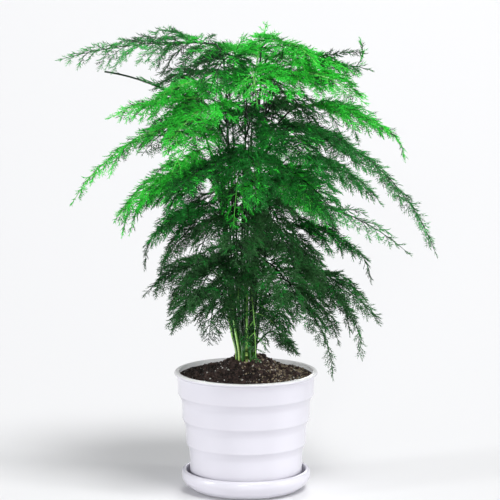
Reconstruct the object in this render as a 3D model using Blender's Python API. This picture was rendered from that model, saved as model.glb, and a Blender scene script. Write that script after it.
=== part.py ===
"""A lace fern, Asparagus setaceus, in a white banded pot that stands in its saucer.

Metres, +Z up. The origin is the centre of the saucer's underside, and the side shown in the photograph
faces -Y. The saucer, the pot and the soil are turned shapes. Each leafy stem is one solid, grown by
extrusion from a six-sided cane: its fronds spread in level tiers, each with a stalk, pairs of side
branches, and leaflets on the longer branches.
"""

import math
import random
from collections import namedtuple

import bmesh
import bpy
from mathutils import Vector, kdtree

# Turned shapes
SIDES = 24
GAP = 0.0003

# Saucer: radii and heights of its outline
SAUCER_FOOT_RADIUS = 0.0545
SAUCER_RADIUS = 0.0704
SAUCER_HEIGHT = 0.0226
SAUCER_WALL = 0.0028
SAUCER_FLOOR = 0.0025

# Pot: four bands, each narrower than the one above it
POT_TOP = 0.1300
RIM_RADIUS = 0.0780
RIM_THICK = 0.0028
MOUTH_RADIUS = 0.0728
BAND_RADII = (0.0738, 0.0693, 0.0652, 0.0613)
BAND_FEET = (0.1054, 0.0782, 0.0514)
STEP_HEIGHT = 0.0108
STEP_POINTS = 2
POT_WALL = 0.0024
POT_FLOOR = 0.0028
FOOT_RADIUS = 0.0525
DRAIN_RADIUS = 0.0060

# Soil: a mound that rises to the canes
SOIL_EDGE = 0.1256
MOUND_HEIGHT = 0.0215
MOUND_RADIUS = 0.0360
MOUND_PLACE = (0.0040, 0.0080)
CLOD_HEIGHT = 0.0014
SOIL_RINGS = (0.0600, 0.0440, 0.0300, 0.0190)

# Canes: upright in the soil, and leaning out above it, most to the left
CANE_RADIUS = 0.0014
CANE_TOP_RADIUS = 0.0009
CANE_FOOT = 0.1160
CANE_COLLAR = 0.1515
CANE_LEAN = 1250
LEAN_LEFT = 450
CANE_SIDES = 6
CANE_STEPS = 3
HOLE_LENGTH = 0.0500

# Fronds
STALK_WIDTH = 0.0011
STALK_HEIGHT = 0.0008
TIP_SHARE = 0.45
PAIR_SPACING = 0.0300
PAIR_BASE = 0.0026
PAIR_STAGGER = 0.0040
FIRST_PAIR = 0.07
LAST_PAIR = 0.88
BREADTH = 0.50
BRANCH_ANGLE = 58.0
BRANCH_LIFT = 8.0
BRANCH_DROOP = 44.0
BRANCH_TILT = 12.0
BRANCH_SPREAD = 11.0
BRANCH_WIDTH = 0.0011
BRANCH_HEIGHT = 0.00036
LEAFLET_REACH = 0.0100
LEAFLET_SWEEP = 0.0060
CLEARANCE = 0.0034
STEEPEST = -84.0

# Inner sprays: short fronds that hang between the tiers and hide the canes
SPRAY_STALK = 0.0260
SPRAY_LEAVING = 34.0
SPRAY_RISE = -22.0
SPRAY_FALL = -76.0
SPRAY_TURNS = (0, -8, 8, -16, 16, -24, 24)

Frond = namedtuple("Frond", "start heading length rise fall leaves_at breadth", defaults=(None, 1.0))
Cane = namedtuple("Cane", "name tone foot_ring foot_azimuth fronds sprays", defaults=((),))

# Each frond: where its leafy part starts, its heading in degrees (0 to the right, 180 to the left, 270 to the
# front), its length, and its slope at the start and at the tip. A side frond also says how high its
# stalk leaves the cane, and an unusually slim or broad one says how broad it is. Each inner spray: how high it
# leaves the cane, its heading and its length.
CANES = (
    Cane("leafy_stem_top_left", "mid", 0.0057, 176, (
        Frond((-0.032, 0.007, 0.484), 184, 0.168, 5, -16),
        Frond((-0.056, 0.000, 0.402), 179, 0.163, -8, -60, 0.362, 0.75)),
        ((0.416, 146, 0.075),)),
    Cane("leafy_stem_top_left_front", "bright", 0.0057, 221, (
        Frond((-0.036, -0.028, 0.450), 216, 0.080, 6, -34),
        Frond((-0.038, -0.014, 0.436), 188, 0.110, 6, -26, 0.402))),
    Cane("leafy_stem_crown", "bright", 0.0, 0, (
        Frond((0.008, 0.004, 0.434), 62, 0.075, 82, 52),
        Frond((-0.012, -0.034, 0.474), 250, 0.088, 6, -58, 0.418),
        Frond((0.022, -0.022, 0.488), 314, 0.082, 12, -44, 0.404))),
    Cane("leafy_stem_top_right_front", "bright", 0.0057, 346, (
        Frond((0.024, -0.013, 0.481), 342, 0.100, 12, -32),
        Frond((0.068, -0.012, 0.398), 354, 0.198, -20, -70, 0.362, 0.6)),
        ((0.374, 322, 0.070),)),
    Cane("leafy_stem_top_right", "mid", 0.0057, 30, (
        Frond((0.040, 0.014, 0.460), 8, 0.095, 10, -16),
        Frond((0.060, 0.016, 0.417), 6, 0.112, 6, -44, 0.380, 1.15)),
        ((0.340, 30, 0.090),)),
    Cane("leafy_stem_top_front", "bright", 0.0057, 262, (
        Frond((0.002, -0.030, 0.458), 276, 0.105, 16, -50),
        Frond((-0.025, -0.030, 0.422), 238, 0.120, 5, -48, 0.388)),
        ((0.412, 272, 0.085), (0.345, 262, 0.090))),
    Cane("leafy_stem_top_bright_right", "bright", 0.0057, 306, (
        Frond((0.040, -0.026, 0.456), 328, 0.105, 8, -40),
        Frond((0.026, -0.032, 0.402), 298, 0.115, 5, -48, 0.368)),
        ((0.410, 310, 0.080), (0.350, 328, 0.080))),
    Cane("leafy_stem_top_back", "mid", 0.0057, 80, (
        Frond((-0.005, 0.030, 0.474), 98, 0.112, 20, -36),
        Frond((0.010, 0.040, 0.412), 78, 0.130, 5, -44, 0.380)),
        ((0.430, 52, 0.080), (0.322, 84, 0.095))),
    Cane("leafy_stem_top_back_left", "mid", 0.0057, 130, (
        Frond((-0.026, 0.026, 0.450), 142, 0.100, 12, -36),
        Frond((-0.036, 0.032, 0.396), 134, 0.125, 4, -46, 0.362)),
        ((0.318, 122, 0.090),)),
    Cane("leafy_stem_top_back_right", "mid", 0.0104, 52, (
        Frond((0.026, 0.026, 0.446), 46, 0.106, 16, -32),
        Frond((0.038, 0.032, 0.388), 40, 0.125, 2, -46, 0.356)),
        ((0.310, 62, 0.090),)),
    Cane("leafy_stem_right", "mid", 0.0104, 4, (
        Frond((0.050, 0.008, 0.362), 6, 0.114, 0, -56, None, 1.0),
        Frond((0.040, 0.010, 0.290), 10, 0.105, -2, -46, 0.262)),
        ((0.225, 4, 0.100), (0.330, 20, 0.085))),
    Cane("leafy_stem_hanging_right", "dark", 0.0104, 28, (
        Frond((0.048, 0.018, 0.238), 18, 0.112, -14, -70),)),
    Cane("leafy_stem_back_right", "mid", 0.0104, 76, (
        Frond((0.018, 0.038, 0.334), 66, 0.130, 2, -50),
        Frond((0.020, 0.030, 0.256), 58, 0.115, 2, -54, 0.230))),
    Cane("leafy_stem_back", "mid", 0.0104, 104, (
        Frond((-0.004, 0.040, 0.356), 98, 0.130, 4, -48),
        Frond((-0.006, 0.036, 0.266), 100, 0.125, 2, -52, 0.240))),
    Cane("leafy_stem_back_left", "mid", 0.0104, 154, (
        Frond((-0.030, 0.026, 0.340), 144, 0.128, 4, -48),
        Frond((-0.026, 0.022, 0.252), 148, 0.098, 2, -54, 0.226)),
        ((0.290, 166, 0.085),)),
    Cane("leafy_stem_left", "bright", 0.0104, 178, (
        Frond((-0.034, 0.004, 0.342), 184, 0.124, 2, -56, None, 1.15),
        Frond((-0.038, 0.004, 0.304), 178, 0.080, -4, -50, 0.272)),
        ((0.226, 176, 0.062), (0.318, 206, 0.070))),
    Cane("leafy_stem_low_left", "dark", 0.0104, 202, (
        Frond((-0.030, -0.010, 0.250), 194, 0.088, 4, -46),
        Frond((-0.026, -0.024, 0.226), 222, 0.084, 0, -48, 0.200)),
        ((0.210, 180, 0.064), (0.226, 240, 0.062))),
    Cane("leafy_stem_hanging_left", "bright", 0.0104, 226, (
        Frond((-0.036, -0.028, 0.398), 236, 0.092, -5, -58),
        Frond((-0.034, -0.028, 0.318), 218, 0.094, 2, -46, 0.290)),
        ((0.352, 206, 0.066),)),
    Cane("leafy_stem_front_left", "bright", 0.0104, 250, (
        Frond((-0.020, -0.030, 0.362), 238, 0.125, 8, -48),
        Frond((-0.018, -0.034, 0.258), 246, 0.105, 4, -54, 0.232)),
        ((0.305, 236, 0.080), (0.214, 252, 0.080))),
    Cane("leafy_stem_front", "bright", 0.0104, 274, (
        Frond((0.004, -0.036, 0.380), 274, 0.122, 10, -52),
        Frond((0.000, -0.036, 0.316), 264, 0.112, 4, -50, 0.288)),
        ((0.340, 290, 0.085), (0.222, 276, 0.100), (0.262, 262, 0.080))),
    Cane("leafy_stem_front_right", "mid", 0.0104, 296, (
        Frond((0.026, -0.030, 0.352), 310, 0.122, 6, -50),
        Frond((0.016, -0.034, 0.260), 296, 0.108, 2, -56, 0.232)),
        ((0.284, 304, 0.075), (0.228, 304, 0.060))),
    Cane("leafy_stem_low_right", "dark", 0.0104, 319, (
        Frond((0.036, -0.028, 0.226), 324, 0.096, -16, -74),
        Frond((0.018, -0.030, 0.204), 304, 0.046, -20, -60, 0.182))),
    Cane("leafy_stem_right_drooping", "dark", 0.0104, 341, (
        Frond((0.050, -0.014, 0.320), 344, 0.140, -6, -40, None, 0.65),
        Frond((0.044, -0.012, 0.252), 346, 0.122, -8, -56, 0.218),
        Frond((0.030, -0.006, 0.174), 350, 0.034, -28, -56, 0.160)),
        ((0.276, 318, 0.070), (0.236, 312, 0.060))),
)
BARE_SHOOT = Cane("bare_shoot", "dark", 0.0104, 128, (Frond((-0.070, 0.021, 0.424), 185, 0.088, 32, 8),))


def direction(azimuth, slope):
    """The unit vector of a compass angle and a slope above the level, both in degrees."""
    flat = math.cos(math.radians(slope))
    turned = math.radians(azimuth)
    return Vector((math.cos(turned) * flat, math.sin(turned) * flat, math.sin(math.radians(slope))))


def angles(way):
    """The compass angle and the slope of a direction, in degrees."""
    return math.degrees(math.atan2(way.y, way.x)), math.degrees(math.asin(max(-1.0, min(1.0, way.z))))


def across(way):
    """The level direction to the left of a way."""
    return Vector((-way.y, way.x, 0.0)).normalized()


class Line:
    """A centre line through points, read by its share of the whole length."""

    def __init__(self, points):
        self.points = points
        self.lengths = [(b - a).length for a, b in zip(points, points[1:])]
        self.length = sum(self.lengths)

    def at(self, share):
        """The point and the direction at a share of the length."""
        left = min(max(share, 0.0), 1.0) * self.length
        step = 0
        while step < len(self.lengths) - 1 and left > self.lengths[step]:
            left -= self.lengths[step]
            step += 1
        way = (self.points[step + 1] - self.points[step]).normalized()
        return self.points[step] + way * left, way

    def share_at_height(self, height):
        """The share of the length at which the line first reaches a height."""
        passed = 0.0
        for a, b, length in zip(self.points, self.points[1:], self.lengths):
            if b.z >= height:
                return (passed + length * (height - a.z) / (b.z - a.z)) / self.length
            passed += length
        return 1.0


def arch(start, heading, length, rise, fall, steps=10):
    """A line that leaves at one slope and bends evenly to another."""
    points = [Vector(start)]
    for step in range(steps):
        slope = max(STEEPEST, rise + (fall - rise) * (step + 0.5) / steps)
        points.append(points[-1] + direction(heading, slope) * (length / steps))
    return Line(points)


def bend(start, start_way, end, end_way, steps=12):
    """A smooth line from one point and direction to another."""
    reach = end - start
    first = start + start_way * (reach.length * 0.40)
    last = end - end_way * min(reach.length * 0.3, reach.xy.length * 0.8)
    points = []
    for step in range(steps + 1):
        t = step / steps
        points.append(start * (1 - t) ** 3 + first * (3 * t * (1 - t) ** 2)
                      + last * (3 * t * t * (1 - t)) + end * t ** 3)
    return points


def cane_line(cane):
    """The cane's centre line: straight out of the soil, then bending to where its own frond starts."""
    foot = direction(cane.foot_azimuth, 0) * cane.foot_ring + Vector((0, 0, CANE_FOOT))
    collar = foot + Vector((0, 0, CANE_COLLAR - CANE_FOOT))
    leaning = CANE_LEAN - LEAN_LEFT * math.cos(math.radians(cane.foot_azimuth))
    lean = direction(cane.foot_azimuth, 90 - cane.foot_ring * leaning)
    frond = cane.fronds[0]
    return Line([foot] + bend(collar, lean, Vector(frond.start), direction(frond.heading, frond.rise)))


def stalk_line(cane, line, frond):
    """The bare stalk of a side frond, from the cane's centre to where the frond starts."""
    origin = line.at(line.share_at_height(frond.leaves_at))[0]
    leaving = direction(frond.heading, 40)
    return Line(bend(origin, leaving, Vector(frond.start), direction(frond.heading, frond.rise), 6))


def whip_line(cane):
    """The thin upper part of the bare shoot."""
    frond = cane.fronds[0]
    return arch(frond.start, frond.heading, frond.length, frond.rise, frond.fall)


def spray_frond(line, leaves_at, heading, length):
    """An inner spray of a cane, as a frond."""
    origin = line.at(line.share_at_height(leaves_at))[0]
    start = origin + direction(heading, SPRAY_LEAVING) * SPRAY_STALK
    return Frond(tuple(start), heading, length, SPRAY_RISE, SPRAY_FALL, leaves_at)


def pair_shares(frond):
    """The shares of a frond's length at which its pairs of side branches stand."""
    pairs = max(3, round(frond.length / PAIR_SPACING))
    return [FIRST_PAIR + (LAST_PAIR - FIRST_PAIR) * pair / (pairs - 1) for pair in range(pairs)]


def branch_line(frond, stalk, seed, share, side):
    """A side branch's centre line: out and forward in the frond's plane, drooping to its tip."""
    drawn = random.Random(f"{seed} {share:.4f} {side}")
    point, way = stalk.at(share + side * PAIR_STAGGER / 2 / stalk.length)
    angle = math.radians(BRANCH_ANGLE - 14 * share + drawn.uniform(-5, 5))
    heading, slope = angles(way * math.cos(angle) + across(way) * (side * math.sin(angle)))
    taper = (1 - share) ** 1.1 * min(1.0, 0.78 + share * 2.2)
    length = frond.length * BREADTH * frond.breadth * taper * drawn.uniform(0.9, 1.08) + 0.005
    tilt = random.Random(seed).uniform(-BRANCH_TILT, BRANCH_TILT)
    slope += BRANCH_LIFT + side * tilt + drawn.uniform(-BRANCH_SPREAD, BRANCH_SPREAD)
    return arch(point, heading, length, slope, slope - BRANCH_DROOP, 6)


def branches_of(frond, stalk, seed):
    """Every pair of a frond's side branches: its share and the lines to the left and to the right."""
    return [(share, branch_line(frond, stalk, seed, share, 1), branch_line(frond, stalk, seed, share, -1))
            for share in pair_shares(frond)]


def samples_of(stalk, branches):
    """Points all along a frond, its branches and their leaflets' reach, for keeping fronds apart."""
    points = [stalk.at(step / 36)[0] for step in range(37)]
    for _, left, right in branches:
        for branch in (left, right):
            steps = max(3, round(branch.length / 0.0045))
            for step in range(1, steps + 1):
                point, way = branch.at(step / steps)
                reach = across(way) * (LEAFLET_REACH * (1.0 - step / steps))
                points += [point, point + reach, point - reach]
    return points


def cane_samples(line):
    """Points round a cane, for keeping fronds off it."""
    points = []
    for step in range(81):
        point, way = line.at(step / 80)
        side = way.orthogonal().normalized()
        points += [point + turn * CANE_RADIUS for turn in (side, -side, way.cross(side), side.cross(way))]
    return points


def moved_frond(frond, lift, sag, turn):
    """The same frond, started higher, with its tip bent down further and its heading turned."""
    start = (frond.start[0], frond.start[1], frond.start[2] + lift)
    return frond._replace(start=start, heading=frond.heading + turn, fall=frond.fall + sag)


def fitted(frond, seed, turns, taken, cane=None, line=None):
    """A frond bent clear of the points taken so far, and its own points."""
    tries = sorted(((lift * 0.003, sag * 6.0, turn) for lift in range(-7, 8) for sag in range(-2, 3)
                    for turn in turns),
                   key=lambda shift: abs(shift[0]) / 0.003 + abs(shift[1]) / 4.0 + abs(shift[2]) / 4.0)
    tree = kdtree.KDTree(len(taken))
    for index, point in enumerate(taken):
        tree.insert(point, index)
    tree.balance()
    best = None
    for lift, sag, turn in tries:
        moved = moved_frond(frond, lift, sag, turn)
        stalk = arch(moved.start, moved.heading, moved.length, moved.rise, moved.fall)
        points = samples_of(stalk, branches_of(moved, stalk, seed))
        if line:
            points += [stalk_line(cane, line, moved).at(share)[0] for share in (0.3, 0.4, 0.55, 0.7, 0.85)]
        room = 1.0
        for point in points if taken else ():
            room = min(room, tree.find(point)[2])
            if best and room <= best[0]:
                break
        if best is None or room > best[0]:
            best = (room, moved, points)
        if room > CLEARANCE:
            break
    return best[1], best[2]


def placed_fronds():
    """Every frond bent clear of those placed before it: {cane name: its fronds}. The sprays come last."""
    taken, placed, lines = [], {}, {}
    for cane in CANES:
        placed[cane.name] = []
        for number, frond in enumerate(cane.fronds):
            fixed, points = fitted(frond, f"{cane.name} {number}", (0,), taken)
            placed[cane.name].append(fixed)
            taken += points
        lines[cane.name] = cane_line(cane._replace(fronds=placed[cane.name]))
    taken += cane_samples(cane_line(BARE_SHOOT)) + cane_samples(whip_line(BARE_SHOOT))
    for cane in CANES:
        taken += cane_samples(lines[cane.name])
        for frond in placed[cane.name][1:]:
            stalk = stalk_line(cane, lines[cane.name], frond)
            taken += [stalk.at(step / 12)[0] for step in range(13)]
    for cane in CANES:
        for spray in cane.sprays:
            line, seed = lines[cane.name], f"{cane.name} {len(placed[cane.name])}"
            fixed, points = fitted(spray_frond(line, *spray), seed, SPRAY_TURNS, taken, cane, line)
            placed[cane.name].append(fixed)
            taken += points
    return placed


def new_material(name, colour, roughness):
    """A plain surface of one colour."""
    material = bpy.data.materials.new(name)
    material.use_nodes = True
    surface = material.node_tree.nodes["Principled BSDF"]
    surface.inputs["Base Color"].default_value = (*colour, 1.0)
    surface.inputs["Roughness"].default_value = roughness
    surface.inputs["Metallic"].default_value = 0.0
    return material


def new_object(name, bm, material, smooth_angle=40.0):
    """The finished mesh as a named object."""
    bmesh.ops.recalc_face_normals(bm, faces=bm.faces)
    mesh = bpy.data.meshes.new(name)
    bm.to_mesh(mesh)
    bm.free()
    mesh.materials.append(material)
    mesh.shade_smooth()
    mesh.set_sharp_from_angle(angle=math.radians(smooth_angle))
    made = bpy.data.objects.new(name, mesh)
    bpy.context.scene.collection.objects.link(made)
    return made


def turned(outline):
    """An outline of (radius, height) points turned about the upright axis, where it may start and end."""
    bm = bmesh.new()
    verts = [bm.verts.new((radius, 0.0, height)) for radius, height in outline]
    edges = [bm.edges.new(pair) for pair in zip(verts, verts[1:])]
    if outline[0][0] > 0:
        edges.append(bm.edges.new((verts[-1], verts[0])))
    bmesh.ops.spin(bm, geom=verts + edges, axis=(0, 0, 1), cent=(0, 0, 0), angle=math.tau,
                   steps=SIDES, use_merge=True)
    bmesh.ops.remove_doubles(bm, verts=bm.verts, dist=1e-6)
    return bm


def saucer_outline():
    """From the axis under the saucer, out round its rolled lip, and back over its floor."""
    outer, foot, top = SAUCER_RADIUS, SAUCER_FOOT_RADIUS, SAUCER_HEIGHT
    lip = outer - 0.0036
    return [
        (0.0, 0.0), (foot, 0.0), (foot + 0.0040, 0.0012), (outer - 0.0048, 0.0064),
        (outer - 0.0012, 0.0116), (outer, 0.0155), (outer - 0.0006, top - 0.0016), (lip, top),
        (lip - 0.0020, top - 0.0010), (outer - SAUCER_WALL * 2, top - 0.0048),
        (outer - 0.0012 - SAUCER_WALL * 2.4, 0.0092), (foot + 0.0044, 0.0046), (foot + 0.0008, SAUCER_FLOOR),
        (0.0, SAUCER_FLOOR),
    ]


def band_outline():
    """The pot's outer wall from under the rim to its foot: upright bands joined by steps that curve in."""
    points = [(BAND_RADII[0] + 0.0006, POT_TOP - RIM_THICK - 0.0014)]
    for upper, lower, foot in zip(BAND_RADII, BAND_RADII[1:], BAND_FEET):
        points.append((upper, foot))
        for step in range(1, STEP_POINTS + 1):
            share = step / STEP_POINTS
            inward = 1 - (1 - share) ** 2
            points.append((upper + (lower + 0.0003 - upper) * inward, foot - STEP_HEIGHT * share))
    last = BAND_RADII[-1] - 0.0005
    return points + [(last, 0.0140), (last - 0.0020, 0.0072), (FOOT_RADIUS + 0.0022, 0.0036)]


def inner_outline(gap):
    """The inside of the pot from its floor's edge up to the mouth, moved in by a gap."""
    floor = POT_FLOOR + 0.0054 + gap
    return [
        (FOOT_RADIUS - 0.0025 - gap, floor),
        (BAND_RADII[3] - POT_WALL - 0.0005 - gap, 0.0140 + gap),
        (BAND_RADII[3] - POT_WALL - gap, BAND_FEET[2] - STEP_HEIGHT),
        (BAND_RADII[1] - POT_WALL - gap, 0.0950),
        (MOUTH_RADIUS - gap, SOIL_EDGE),
    ]


def pot_outline():
    """The whole wall: the rim, the banded outside, the raised underside, the drain hole and the inside."""
    top, under = POT_TOP, POT_FLOOR
    rim = [(RIM_RADIUS - 0.0014, top), (RIM_RADIUS, top - 0.0014), (RIM_RADIUS - 0.0006, top - RIM_THICK)]
    floor = [
        (FOOT_RADIUS, under), (FOOT_RADIUS - 0.0030, under), (FOOT_RADIUS - 0.0040, under + 0.0026),
        (DRAIN_RADIUS, under + 0.0026), (DRAIN_RADIUS, under + 0.0054),
    ]
    return rim + band_outline() + floor + inner_outline(0.0) + [(MOUTH_RADIUS, top)]


def soil_height(x, y):
    """The soil's surface: a mound round the canes, highest behind them, broken up by clods."""
    radius, angle = math.hypot(x, y), math.atan2(y, x)
    off = math.hypot(x - MOUND_PLACE[0], y - MOUND_PLACE[1])
    mound = MOUND_HEIGHT * math.exp(-(off / MOUND_RADIUS) ** 2) * (1 - (radius / MOUTH_RADIUS) ** 4)
    clods = (math.sin(angle * 5 + radius * 310) * math.cos(angle * 3 - radius * 170)
             + 0.6 * math.sin(angle * 9 - radius * 520))
    return SOIL_EDGE + mound + CLOD_HEIGHT * clods * (1 - (radius / MOUTH_RADIUS) ** 4)


def make_soil(material, lines):
    """The soil fills the pot, with a plain hole for each cane."""
    walls = inner_outline(GAP)
    tops = [(radius, SOIL_EDGE) for radius in SOIL_RINGS]
    bm = turned([(0.0, walls[0][1])] + walls + tops + [(0.0, SOIL_EDGE)])
    for vert in bm.verts:
        if abs(vert.co.z - SOIL_EDGE) < 1e-6:
            vert.co.z = soil_height(vert.co.x, vert.co.y)
    soil = new_object("soil", bm, material)
    holes, radius = bmesh.new(), CANE_RADIUS + GAP * 1.2
    for line, heading in lines:
        foot, way = line.points[0], (line.points[1] - line.points[0]).normalized()
        face, corners = cane_start(holes, foot - way * GAP, way, heading, radius)
        side, up = frame_of(way, heading)
        ring(holes, face, corners, foot + way * HOLE_LENGTH, side, up, radius, radius)
    close_ends(holes)
    cutter = new_object("cane_holes", holes, material)
    cutter.hide_render = True
    cutter.display_type = "WIRE"
    cut = soil.modifiers.new("holes", "BOOLEAN")
    cut.operation = "DIFFERENCE"
    cut.solver = "EXACT"
    cut.object = cutter
    return soil


def frame_of(way, heading):
    """The sideways and upward directions of a ring: sideways is level, across the frond's heading."""
    side = across(direction(heading, 0))
    side = (side - way * side.dot(way)).normalized()
    return side, way.cross(side)


def ring(bm, face, corners, spot, side, up, width, height):
    """Extrudes a face and sets its corners round a new spot."""
    face = bmesh.ops.extrude_discrete_faces(bm, faces=[face])["faces"][0]
    for vert, (right, high) in zip(face.verts, corners):
        vert.co = spot + side * (right * width) + up * (high * height)
    return face


def cane_start(bm, spot, way, heading, radius):
    """The six-sided end of a cane, and its corners as shares of the radius."""
    side, up = frame_of(way, heading)
    turns = [math.tau * (corner + 0.5) / CANE_SIDES for corner in range(CANE_SIDES)]
    corners = [(math.cos(turn), math.sin(turn)) for turn in turns]
    verts = [bm.verts.new(spot + side * (right * radius) + up * (high * radius)) for right, high in corners]
    return bm.faces.new(verts), corners


def close_ends(bm):
    """Caps the open feet that extrusion leaves."""
    bmesh.ops.holes_fill(bm, edges=[edge for edge in bm.edges if edge.is_boundary], sides=0)


def wall_toward(face, way):
    """The side wall of the last extruded stretch that faces a direction."""
    middle = face.calc_center_median()
    walls = [other for edge in face.edges for other in edge.link_faces if other is not face]
    return max(walls, key=lambda wall: (wall.calc_center_median() - middle).normalized().dot(way))


def square_corners(face, side, up):
    """Which corner of a four-sided face becomes which, for the least twist, seen along a new direction."""
    middle = face.calc_center_median()
    spots = [((vert.co - middle).dot(side), (vert.co - middle).dot(up)) for vert in face.verts]
    turning = sum(a[0] * b[1] - a[1] * b[0] for a, b in zip(spots, spots[1:] + spots[:1]))
    cycle = [(1, 1), (-1, 1), (-1, -1), (1, -1)]
    if turning < 0:
        cycle.reverse()

    def likeness(turn):
        return sum(x * right + y * high for (x, y), (right, high) in zip(spots, turn))

    return max((cycle[turn:] + cycle[:turn] for turn in range(4)), key=likeness)


def spike(bm, face, tip):
    """Draws a face out to a point."""
    bmesh.ops.poke(bm, faces=[face])["verts"][0].co = tip


def squared(bm, face, corners):
    """Turns a six-sided end into a four-sided one by closing its top and its bottom corner."""
    verts = list(face.verts)
    top = max(range(len(corners)), key=lambda index: corners[index][1])
    low = min(range(len(corners)), key=lambda index: corners[index][1])
    keep = [vert for index, vert in enumerate(verts) if index not in (top, low)]
    bmesh.ops.weld_verts(bm, targetmap={verts[top]: verts[top - 1], verts[low]: verts[low - 1]})
    return next(found for found in keep[0].link_faces if set(found.verts) == set(keep))


def grow_leaflets(bm, face, branch, low, high):
    """A leaflet to each side of the stretch of a branch that ends at this face."""
    middle, way = branch.at((low + high) / 2)
    side = across(way)
    reach = LEAFLET_REACH * (1.15 - high)
    for turn in (1, -1):
        tip = middle + side * (turn * (reach + BRANCH_WIDTH)) + way * LEAFLET_SWEEP
        spike(bm, wall_toward(face, side * turn), tip - Vector((0, 0, 0.0008)))


def grow_branch(bm, wall, branch):
    """A side branch out of a stalk's wall, with leaflets where it is long enough."""
    if branch.length < 0.016:
        spike(bm, wall, branch.at(1.0)[0])
        return
    stops = (0.30, 0.62) if branch.length > 0.040 else (0.48,)
    face, low = wall, 0.0
    corners = None
    for stop in stops:
        spot, way = branch.at(stop)
        side = across(way)
        up = way.cross(side)
        if corners is None:
            corners = square_corners(face, side, up)
        narrow = 1 - 0.4 * stop
        face = ring(bm, face, corners, spot, side, up, BRANCH_WIDTH * narrow, BRANCH_HEIGHT)
        if branch.length > 0.026:
            grow_leaflets(bm, face, branch, max(low, 0.12), stop)
        low = stop
    spike(bm, face, branch.at(1.0)[0])


def grow_frond(bm, face, corners, frond, stalk, seed):
    """The leafy part of a frond: its stalk first, then its branches out of the stalk's walls."""
    walls = []
    half = PAIR_BASE / 2 / stalk.length
    stagger = PAIR_STAGGER / 2 / stalk.length
    for share, left, right in branches_of(frond, stalk, seed):
        thin = 1 - (1 - TIP_SHARE) * share
        for end in (share - half, share + half):
            face = bmesh.ops.extrude_discrete_faces(bm, faces=[face])["faces"][0]
            for vert, (sideways, high) in zip(face.verts, corners):
                spot, way = stalk.at(end + math.copysign(stagger, sideways))
                side = across(way)
                up = way.cross(side)
                vert.co = (spot + side * (math.copysign(STALK_WIDTH * thin, sideways))
                           + up * (math.copysign(STALK_HEIGHT * thin, high)))
        side = across(stalk.at(share)[1])
        walls.append((wall_toward(face, side), left))
        walls.append((wall_toward(face, side * -1.0), right))
    spike(bm, face, stalk.at(1.0)[0])
    for wall, branch in walls:
        grow_branch(bm, wall, branch)


def grow_side_frond(bm, wall, cane, line, frond, seed):
    """A side frond: a bare stalk out of the cane's wall, then its leafy part."""
    stalk = stalk_line(cane, line, frond)
    corners, face = None, wall
    for stop in (0.36, 0.88):
        spot, way = stalk.at(stop)
        side, up = frame_of(way, frond.heading)
        if corners is None:
            corners = square_corners(face, side, up)
        face = ring(bm, face, corners, spot, side, up, STALK_WIDTH, STALK_HEIGHT)
    leafy = arch(frond.start, frond.heading, frond.length, frond.rise, frond.fall)
    grow_frond(bm, face, corners, frond, leafy, seed)


def cane_stops(line, fronds):
    """The shares of a cane's length at which it has a ring, with a short stretch at each side frond."""
    straight = line.lengths[0] / line.length
    bends = [straight + (0.97 - straight) * step / CANE_STEPS for step in range(CANE_STEPS + 1)]
    stops = [(bend_at, None) for bend_at in bends]
    for number, frond in enumerate(fronds[1:], 1):
        middle, half = line.share_at_height(frond.leaves_at), 0.0024 / line.length
        stops = [stop for stop in stops if abs(stop[0] - middle) > 3 * half]
        stops += [(middle - half, None), (middle + half, number)]
    return sorted(stops, key=lambda stop: stop[0])


def make_leafy_stem(cane, material):
    """One cane with all its fronds, as one solid."""
    line, heading = cane_line(cane), cane.fronds[0].heading
    bm = bmesh.new()
    face, corners = cane_start(bm, line.points[0], line.at(0)[1], heading, CANE_RADIUS)
    walls = []
    for share, number in cane_stops(line, cane.fronds):
        spot, way = line.at(share)
        side, up = frame_of(way, heading)
        radius = CANE_RADIUS + (CANE_TOP_RADIUS - CANE_RADIUS) * share
        face = ring(bm, face, corners, spot, side, up, radius, radius)
        if number is not None:
            wall = wall_toward(face, direction(cane.fronds[number].heading, 0))
            walls.append((wall, cane.fronds[number], f"{cane.name} {number}"))
    face = squared(bm, face, corners)
    side, up = frame_of(way, heading)
    frond = cane.fronds[0]
    leafy = arch(frond.start, frond.heading, frond.length, frond.rise, frond.fall)
    grow_frond(bm, face, square_corners(face, side, up), frond, leafy, f"{cane.name} 0")
    for wall, frond, seed in walls:
        grow_side_frond(bm, wall, cane, line, frond, seed)
    close_ends(bm)
    return new_object(cane.name, bm, material, 30.0)


def make_bare_shoot(cane, material):
    """A young shoot that has no leaves yet: a cane that runs out to a thin whip."""
    line, whip, frond = cane_line(cane), whip_line(cane), cane.fronds[0]
    bm = bmesh.new()
    face, corners = cane_start(bm, line.points[0], line.at(0)[1], frond.heading, CANE_RADIUS)
    stops = [(line, share) for share, _ in cane_stops(line, ())] + [(whip, 0.1), (whip, 0.4), (whip, 0.7)]
    for number, (path, share) in enumerate(stops):
        spot, way = path.at(share)
        side, up = frame_of(way, frond.heading)
        radius = CANE_RADIUS + (0.0006 - CANE_RADIUS) * number / len(stops)
        face = ring(bm, face, corners, spot, side, up, radius, radius)
    spike(bm, face, whip.at(1.0)[0])
    close_ends(bm)
    return new_object(cane.name, bm, material)


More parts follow.
